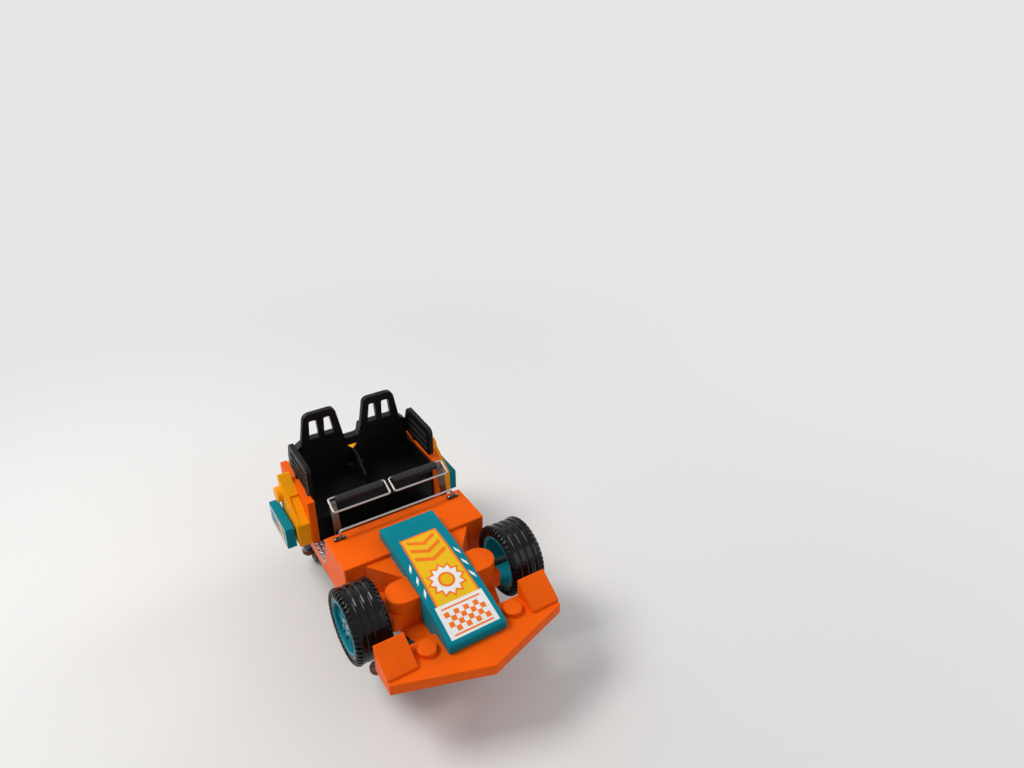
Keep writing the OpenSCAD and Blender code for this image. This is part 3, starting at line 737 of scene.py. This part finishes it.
def hub_fittings():
    """A castle nut on each stub axle in the hub's sunk middle and six bolts round it on the hub's face."""
    nut = begin(bpy.ops.mesh.primitive_cylinder_add, "left_axle_nut", vertices=6, radius=NUT_R, depth=NUT_H,
                location=(0, 0, NUT_H / 2))
    open_mesh(nut)
    pick(nut, faces_up)
    bpy.ops.mesh.inset(thickness=NUT_SLOPE)
    shift(0, 0, NUT_CROWN)
    bpy.ops.mesh.inset(thickness=NUT_RIM)
    bpy.ops.mesh.extrude_region_move(TRANSFORM_OT_translate={"value": (0, 0, -NUT_SOCKET)})
    close_mesh()
    soften(nut, FINE_EDGE, 2)
    smooth(nut, 30)
    coat(nut, zinc_bolt)
    nut.data.transform(Matrix.Translation((NUT_X, SHOW_Y, SHOW_Z)) @ Matrix.Rotation(QUARTER, 4, "Y"))
    fit(nut, "car", "frame_paint")
    fit(mirrored(nut, "right_axle_nut"), "car", "frame_paint")
    for side, s in SIDES:
        spots = []
        for i in range(HUB_BOLTS):
            a = (i + 0.5) * 2 * math.pi / HUB_BOLTS
            at = (s * HUB_FACE_X, SHOW_Y + HUB_BOLT_RING * math.cos(a), SHOW_Z + HUB_BOLT_RING * math.sin(a))
            spots.append((at, (s, 0, 0)))
        bolt = bolt_head("hub_bolt", radius=0.0075, height=0.007)
        fastener_set(side + "_hub_bolts", side + "_show_wheel", "rim_paint", bolt, spots)


# Film artwork on the nose: a plain racing pattern in yellow, orange and white.
NOSE_FRONT, NOSE_REAR, NOSE_LOW, NOSE_HIGH, NOSE_CURVE = -1.195, -0.070, 0.797, 0.993, 1.85
NOSE_LIP, NOSE_CUTS = 0.014, 18
NOSE_STEPS = [NOSE_REAR + (NOSE_FRONT + NOSE_LIP - NOSE_REAR) * i / NOSE_CUTS for i in range(NOSE_CUTS + 1)]
FILM = 0.0004
# Strips as (half width at the rear, rear, front, taper).
APRON = (0.186, -0.905, -1.160, 0.004)
FIELD_EDGE, FIELD = (0.150, -0.270, -0.905, 0.022), (0.136, -0.284, -0.905, 0.022)
CHEVRON_REAR, CHEVRON_PITCH, CHEVRON_HALVES = -0.300, 0.082, (0.112, 0.118, 0.124)
CHEVRON_DROP, CHEVRON_THICK = 0.055, 0.034
WHEEL_Y, WHEEL_TEETH = -0.735, 12
CHECK, CHECK_LEFT, CHECK_REAR, CHECK_ROWS, CHECK_COLUMNS = 0.038, -0.152, -0.965, 4, 8
LINE_REARS, LINE_WIDTH = (-0.932, -1.131), 0.012
FLASHES, FLASH_REAR, FLASH_PITCH = 3, -0.50, 0.115
# Outline of a flash as (off the middle line, ahead of its rear).
FLASH = ((0.178, 0), (0.204, 0.045), (0.206, 0.085), (0.180, 0.040))


def nose_top(y):
    """Height of the nose's top, which is straight between its steps."""
    def exact(at):
        s = (at - NOSE_FRONT) / (NOSE_REAR - NOSE_FRONT)
        return NOSE_LOW + (NOSE_HIGH - NOSE_LOW) * (1 - (1 - s) ** NOSE_CURVE)
    for a, b in zip(NOSE_STEPS, NOSE_STEPS[1:]):
        if b <= y <= a:
            return exact(b) + (exact(a) - exact(b)) * (y - b) / (a - b)
    return exact(y)


def flat_shape(name, points):
    """A flat convex shape cut from a plane along each side of its outline."""
    xs, ys = [p[0] for p in points], [p[1] for p in points]
    sides = list(zip(points, points[1:] + points[:1]))
    turn = sum(a[0] * b[1] - b[0] * a[1] for a, b in sides)
    shape = begin(bpy.ops.mesh.primitive_plane_add, name, size=1,
                  location=((min(xs) + max(xs)) / 2, (min(ys) + max(ys)) / 2, 0),
                  scale=(max(xs) - min(xs), max(ys) - min(ys), 1))
    open_mesh(shape)
    for a, b in sides:
        out = Vector((b[1] - a[1], a[0] - b[0], 0)) * (1 if turn > 0 else -1)
        bpy.ops.mesh.select_all(action="SELECT")
        bpy.ops.mesh.bisect(plane_co=(*a, 0), plane_no=out.normalized(), clear_outer=True, threshold=CUT_GAP)
    close_mesh()
    return shape


def flat_disc(name, y, radius):
    return begin(bpy.ops.mesh.primitive_circle_add, name, vertices=64, radius=radius, fill_type="NGON",
                 location=(0, y, 0))


def rectangle(x, y, to_x, to_y):
    return [(x, y), (to_x, y), (to_x, to_y), (x, to_y)]


def band(half, rear, front, taper):
    """Outline of a strip over the middle line that widens by the taper towards its front."""
    return [(-half, rear), (half, rear), (half + taper, front), (-half - taper, front)]


def toothed_wheel(outer, inner):
    """A toothed wheel from kite shaped rays."""
    rays = []
    for i in range(WHEEL_TEETH):
        a, w = 2 * math.pi * i / WHEEL_TEETH, math.pi / WHEEL_TEETH
        kite = [(0, WHEEL_Y)]
        for radius, at in ((inner, a - w), (outer, a), (inner, a + w)):
            kite.append((radius * math.sin(at), WHEEL_Y - radius * math.cos(at)))
        rays.append(flat_shape("ray", kite))
    return rays


def chevron(y, half, drop, thick):
    """Two slanted bars that meet on the middle line and point forward."""
    return [flat_shape("bar", [(0, y - drop), (s * half, y), (s * half, y - thick), (0, y - drop - thick)])
            for s in (-1, 1)]


def lay_on_nose(shapes, name, layer, ink):
    """Lays flat shapes on the nose's curved top as a thin film."""
    film = joined(shapes, name)
    open_mesh(film)
    for y in NOSE_STEPS[1:-1]:
        bpy.ops.mesh.select_all(action="SELECT")
        bpy.ops.mesh.bisect(plane_co=(0, y, 0), plane_no=Y, threshold=CUT_GAP)
    close_mesh()
    for point in film.data.vertices:
        point.co.z = nose_top(point.co.y) + FILM * layer
    modify(film, "SOLIDIFY", thickness=FILM, offset=1.0)
    coat(film, ink)
    return fit(film, "car", "teal_body")


def nose_artwork():
    lay_on_nose([flat_shape("apron", band(*APRON))], "nose_film_apron", 0, film_white)
    lay_on_nose([flat_shape("edge", band(*FIELD_EDGE))], "nose_film_edge", 0, film_orange)
    lay_on_nose([flat_shape("field", band(*FIELD))], "nose_film_field", 1, film_yellow)
    bars = []
    for i, half in enumerate(CHEVRON_HALVES):
        bars += chevron(CHEVRON_REAR - i * CHEVRON_PITCH, half, CHEVRON_DROP, CHEVRON_THICK)
    lay_on_nose(bars, "nose_film_chevrons", 2, film_orange)
    lay_on_nose(toothed_wheel(outer=0.150, inner=0.112), "nose_film_sun", 2, film_orange)
    lay_on_nose(toothed_wheel(outer=0.126, inner=0.094), "nose_film_ring", 3, film_white)
    lay_on_nose([flat_disc("disc", WHEEL_Y, radius=0.062)], "nose_film_disc", 4, film_orange)
    lay_on_nose([flat_disc("spot", WHEEL_Y, radius=0.044)], "nose_film_spot", 5, film_yellow)
    checks = []
    for row in range(CHECK_ROWS):
        for column in range(row % 2, CHECK_COLUMNS, 2):
            x, y = CHECK_LEFT + column * CHECK, CHECK_REAR - row * CHECK
            checks.append(flat_shape("check", rectangle(x, y, x + CHECK, y - CHECK)))
    for y in LINE_REARS:
        checks.append(flat_shape("line", rectangle(CHECK_LEFT, y, -CHECK_LEFT, y - LINE_WIDTH)))
    lay_on_nose(checks, "nose_film_checks", 2, film_orange)
    flashes = []
    for s in (-1, 1):
        for k in range(FLASHES):
            y = FLASH_REAR - k * FLASH_PITCH
            flashes.append(flat_shape("flash", [(s * x, y - ahead) for x, ahead in FLASH]))
    lay_on_nose(flashes, "nose_film_flashes", 0, film_white)


# Framed panels on the outboard boxes, drawn as (place along the car, height).
BOX_FACE = 0.778
STRIPE_FOOT, STRIPE_TOP, STRIPE_SLANT = 0.604, 0.711, 0.07


def stripe(start, end):
    """Outline of a stripe that leans towards the rear."""
    return [(start, STRIPE_FOOT), (end, STRIPE_FOOT),
            (end + STRIPE_SLANT, STRIPE_TOP), (start + STRIPE_SLANT, STRIPE_TOP)]


def box_panels():
    films = [("box_film_border", 0, film_white, rectangle(0.592, 0.588, 0.968, 0.727)),
             ("box_film_field", 1, teal_gelcoat, rectangle(0.604, 0.600, 0.956, 0.715)),
             ("box_film_amber", 2, film_yellow, stripe(0.62, 0.70)),
             ("box_film_pink", 2, film_pink, stripe(0.72, 0.76)),
             ("box_film_orange", 2, film_orange, stripe(0.78, 0.80))]
    for name, layer, ink, outline in films:
        film = flat_shape(name, outline)
        for point in film.data.vertices:
            point.co = Vector((BOX_FACE + FILM * layer, point.co.x, point.co.y))
        modify(film, "SOLIDIFY", thickness=FILM, offset=1.0)
        outward(film)
        coat(film, ink)
        fit(joined([film, mirrored(film, "twin")], name), "car", "teal_body")


# Tread plate on the steps: bars laid this way and that.
TREAD_X, TREAD_Y, TREAD_ACROSS, TREAD_ALONG = 0.498, 0.230, 0.036, 0.030
TREAD_LENGTH, TREAD_WIDTH, TREAD_THICK, TREAD_CORNER = 0.026, 0.007, 0.0016, 0.0034
TREAD_ROWS, TREAD_BARS, TREAD_TURN = 3, 9, math.radians(45)
PLATE_EDGE = 0.0015


def step_plates():
    panel("step_plates", PLATE_EDGE, 2)
    bar = begin(bpy.ops.mesh.primitive_cube_add, "tread_bar", size=1, location=(0, 0, TREAD_THICK / 2),
                scale=(TREAD_LENGTH, TREAD_WIDTH, TREAD_THICK))
    open_mesh(bar)
    pick(bar, lambda middle, run: abs(run.z) > NEAR and abs(middle.x) > 0.01, "EDGE")
    bpy.ops.mesh.bevel(offset=TREAD_CORNER, segments=3)
    pick(bar, faces_up)
    bpy.ops.transform.resize(value=(0.85, 0.6, 1))
    close_mesh()
    smooth(bar, 50)
    coat(bar, tread_metal)
    low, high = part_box("step_plates")
    places = []
    for side in (-1, 1):
        for i in range(TREAD_ROWS):
            for j in range(TREAD_BARS):
                at = (side * (TREAD_X + i * TREAD_ACROSS), TREAD_Y + j * TREAD_ALONG, high.z)
                turn = TREAD_TURN if (i + j) % 2 else -TREAD_TURN
                places.append(Matrix.Translation(at) @ Matrix.Rotation(turn, 4, "Z"))
    fit(copied(bar, places, "step_tread_bars"), "car", "tread_plate")


# Running, guide and upstop wheels: cast tread on a steel hub, as (axle, hub radius).
TRACK_WHEELS = {"run": ("X", 0.068), "guide": ("Z", 0.038), "stop": ("X", 0.032)}
TRACK_WHEEL_EDGE = 0.0018


def running_gear():
    for kind, (axle, hub) in TRACK_WHEELS.items():
        for corner in ("fl", "fr", "rl", "rr"):
            node = f"{kind}_wheel_{corner}"
            wheel = panel(node, TRACK_WHEEL_EDGE, 2)
            low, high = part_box(node)
            coat(wheel, wheel_plastic, hub_steel)
            for face in wheel.data.polygons:
                out = face.center - (low + high) / 2
                reach = math.hypot(out.y, out.z) if axle == "X" else math.hypot(out.x, out.y)
                face.material_index = 1 if reach < hub else 0


# Places of the fasteners.
FRAME_BOLT_X, FRAME_BOLT_Z, FRAME_BOLT_YS = 0.290, 0.455, (-0.98, -0.27, 0.18, 0.59, 1.12)
RAIL_SCREW_XS, RAIL_SCREW_Z = (-0.032, 0.036), 0.9155
BOLSTER_X, BOLSTER_Z, BOLSTER_YS = 0.552, 1.008, (0.600, 0.620, 0.882, 0.902)
REAR_PANEL_Y, REAR_PANEL_ZS, REAR_PANEL_XS = 1.195, (0.515, 0.930), (-0.50, -0.30, -0.10, 0.10, 0.30, 0.50)
PIVOT_AT = (0.434, 0.18, 0.65)
CARRIER_X, CARRIER_HALF, CARRIER_ZS, AXLE_YS = 0.500, 0.04, (0.318, 0.262), (("front", -0.57), ("rear", 0.93))


def fasteners():
    spots = [((s * FRAME_BOLT_X, y, FRAME_BOLT_Z), (s, 0, 0)) for s in (-1, 1) for y in FRAME_BOLT_YS]
    bolt = bolt_head("frame_bolt", radius=0.011, height=0.009)
    fastener_set("frame_bolts", "car", "frame_paint", bolt, spots)
    spots = [((s * (FOOT_X + dx), FOOT_Y, RAIL_SCREW_Z), Z) for s in (-1, 1) for dx in RAIL_SCREW_XS]
    screw = screw_head("rail_screw", radius=0.0075, height=0.004)
    fastener_set("rail_screws", "car", "bright_tube", screw, spots)
    spots = [((s * BOLSTER_X, y, BOLSTER_Z), (s, 0, 0)) for s in (-1, 1) for y in BOLSTER_YS]
    screw = screw_head("bolster_screw", radius=0.006, height=0.004)
    fastener_set("bolster_screws", "car", "black_shell", screw, spots)
    spots = [((x, REAR_PANEL_Y, z), Y) for z in REAR_PANEL_ZS for x in REAR_PANEL_XS]
    screw = screw_head("panel_screw", radius=0.009, height=0.004)
    fastener_set("rear_panel_screws", "car", "amber_body", screw, spots)
    for side, s in SIDES:
        spots = [((s * PIVOT_AT[0], *PIVOT_AT[1:]), (-s, 0, 0))]
        bolt = bolt_head("pivot_bolt", radius=0.014, height=0.010)
        fastener_set(side + "_pivot_bolt", side + "_bar", "bar_steel", bolt, spots)
    for end, y in AXLE_YS:
        spots = [((s * CARRIER_X, y + dy, z), (s, 0, 0))
                 for s in (-1, 1) for dy in (-CARRIER_HALF, CARRIER_HALF) for z in CARRIER_ZS]
        bolt = bolt_head("carrier_bolt", radius=0.008, height=0.007)
        fastener_set(end + "_carrier_bolts", end + "_bogie", "bogie_paint", bolt, spots)


# Studio: a pale floor that fades into the backdrop, even daylight and four soft lamps.
BACKDROP, FLOOR, DAYLIGHT = (0.80, 0.79, 0.78), (0.77, 0.76, 0.75), (0.95, 0.97, 1.0)
FLOOR_NEAR, FLOOR_FAR, FLOOR_SIZE, FLOOR_Z = 2.6, 8.0, 60, -0.0005
DAYLIGHT_STRENGTH = 0.36
LAMPS_AIM = Vector((0, 0, 0.7))
# Name, place, size, power and colour.
LAMPS = (("key", (-6.1, 2.6, 10.6), 4.6, 880.0, (1.0, 0.98, 0.95)),
         ("fill", (6.0, -9.4, 7.2), 6.8, 230.0, (0.95, 0.97, 1.0)),
         ("back", (-5.1, 10.2, 8.0), 6.8, 300.0, (1.0, 1.0, 1.0)),
         ("side", (10.2, 1.7, 6.3), 5.0, 320.0, (1.0, 1.0, 1.0)))


def seen_directly(tree):
    """1 for the eye and for rays off or through gloss and glass, 0 for the rays that light the car."""
    ray = shader_node(tree, "LightPath")
    total = ray.outputs["Is Camera Ray"]
    for name in ("Is Glossy Ray", "Is Transmission Ray"):
        add = shader_node(tree, "Math", operation="ADD", use_clamp=True)
        tree.links.new(total, add.inputs[0])
        tree.links.new(ray.outputs[name], add.inputs[1])
        total = add.outputs[0]
    return total


def floor_paint():
    """Pale paint with a fine grain near the car, and the backdrop's colour where the floor is far away."""
    paint = bpy.data.materials.new("studio_floor")
    paint.use_nodes = True
    tree = paint.node_tree
    link = tree.links.new
    shader = tree.nodes["Principled BSDF"]
    for socket, value in (("Roughness", 0.8), ("Specular IOR Level", 0.2), ("Base Color", (*FLOOR, 1))):
        shader.inputs[socket].default_value = value
    place = shader_node(tree, "TexCoord").outputs["Object"]
    speck = shader_node(tree, "TexNoise", {"Scale": 60.0, "Detail": 8.0})
    bump = shader_node(tree, "Bump", {"Strength": 1.0, "Distance": 0.0006})
    link(place, speck.inputs["Vector"])
    link(speck.outputs["Fac"], bump.inputs["Height"])
    link(bump.outputs["Normal"], shader.inputs["Normal"])
    reach = shader_node(tree, "VectorMath", operation="LENGTH")
    far = shader_node(tree, "MapRange", {"From Min": FLOOR_NEAR, "From Max": FLOOR_FAR},
                      interpolation_type="SMOOTHSTEP")
    shown = shader_node(tree, "Math", operation="MULTIPLY")
    link(place, reach.inputs[0])
    link(reach.outputs["Value"], far.inputs["Value"])
    link(far.outputs["Result"], shown.inputs[0])
    link(seen_directly(tree), shown.inputs[1])
    glow = shader_node(tree, "Emission", {"Color": (*BACKDROP, 1)})
    both = shader_node(tree, "MixShader")
    link(shown.outputs[0], both.inputs["Fac"])
    link(shader.outputs["BSDF"], both.inputs[1])
    link(glow.outputs["Emission"], both.inputs[2])
    link(both.outputs["Shader"], tree.nodes["Material Output"].inputs["Surface"])
    return paint


def backdrop():
    """Daylight from all round, with the plain backdrop wherever it is seen directly."""
    world = bpy.data.worlds.new("studio")
    bpy.context.scene.world = world
    world.use_nodes = True
    sky = world.node_tree
    daylight = sky.nodes["Background"]
    daylight.inputs["Color"].default_value = (*DAYLIGHT, 1)
    daylight.inputs["Strength"].default_value = DAYLIGHT_STRENGTH
    wall = shader_node(sky, "Background", {"Color": (*BACKDROP, 1)})
    either = shader_node(sky, "MixShader")
    sky.links.new(seen_directly(sky), either.inputs["Fac"])
    sky.links.new(daylight.outputs["Background"], either.inputs[1])
    sky.links.new(wall.outputs["Background"], either.inputs[2])
    sky.links.new(either.outputs["Shader"], sky.nodes["World Output"].inputs["Surface"])


def studio():
    floor = begin(bpy.ops.mesh.primitive_plane_add, "studio_floor", size=FLOOR_SIZE, location=(0, 0, FLOOR_Z))
    coat(floor, floor_paint())
    bpy.context.scene.view_settings.view_transform = "Standard"
    backdrop()
    for name, at, size, power, tint in LAMPS:
        lamp = bpy.data.lights.new(name, "AREA")
        lamp.shape, lamp.size, lamp.energy, lamp.color = "SQUARE", size, power, tint
        obj = bpy.data.objects.new(name, lamp)
        obj.location = at
        obj.rotation_mode = "QUATERNION"
        obj.rotation_quaternion = (LAMPS_AIM - Vector(at)).to_track_quat("-Z", "Y")
        bpy.context.scene.collection.objects.link(obj)


place_camera()
body_panels()
wing_blocks()
suspension_pods()
grab_rail()
lap_bars()
show_wheels()
nose_artwork()
box_panels()
step_plates()
running_gear()
fasteners()
studio()
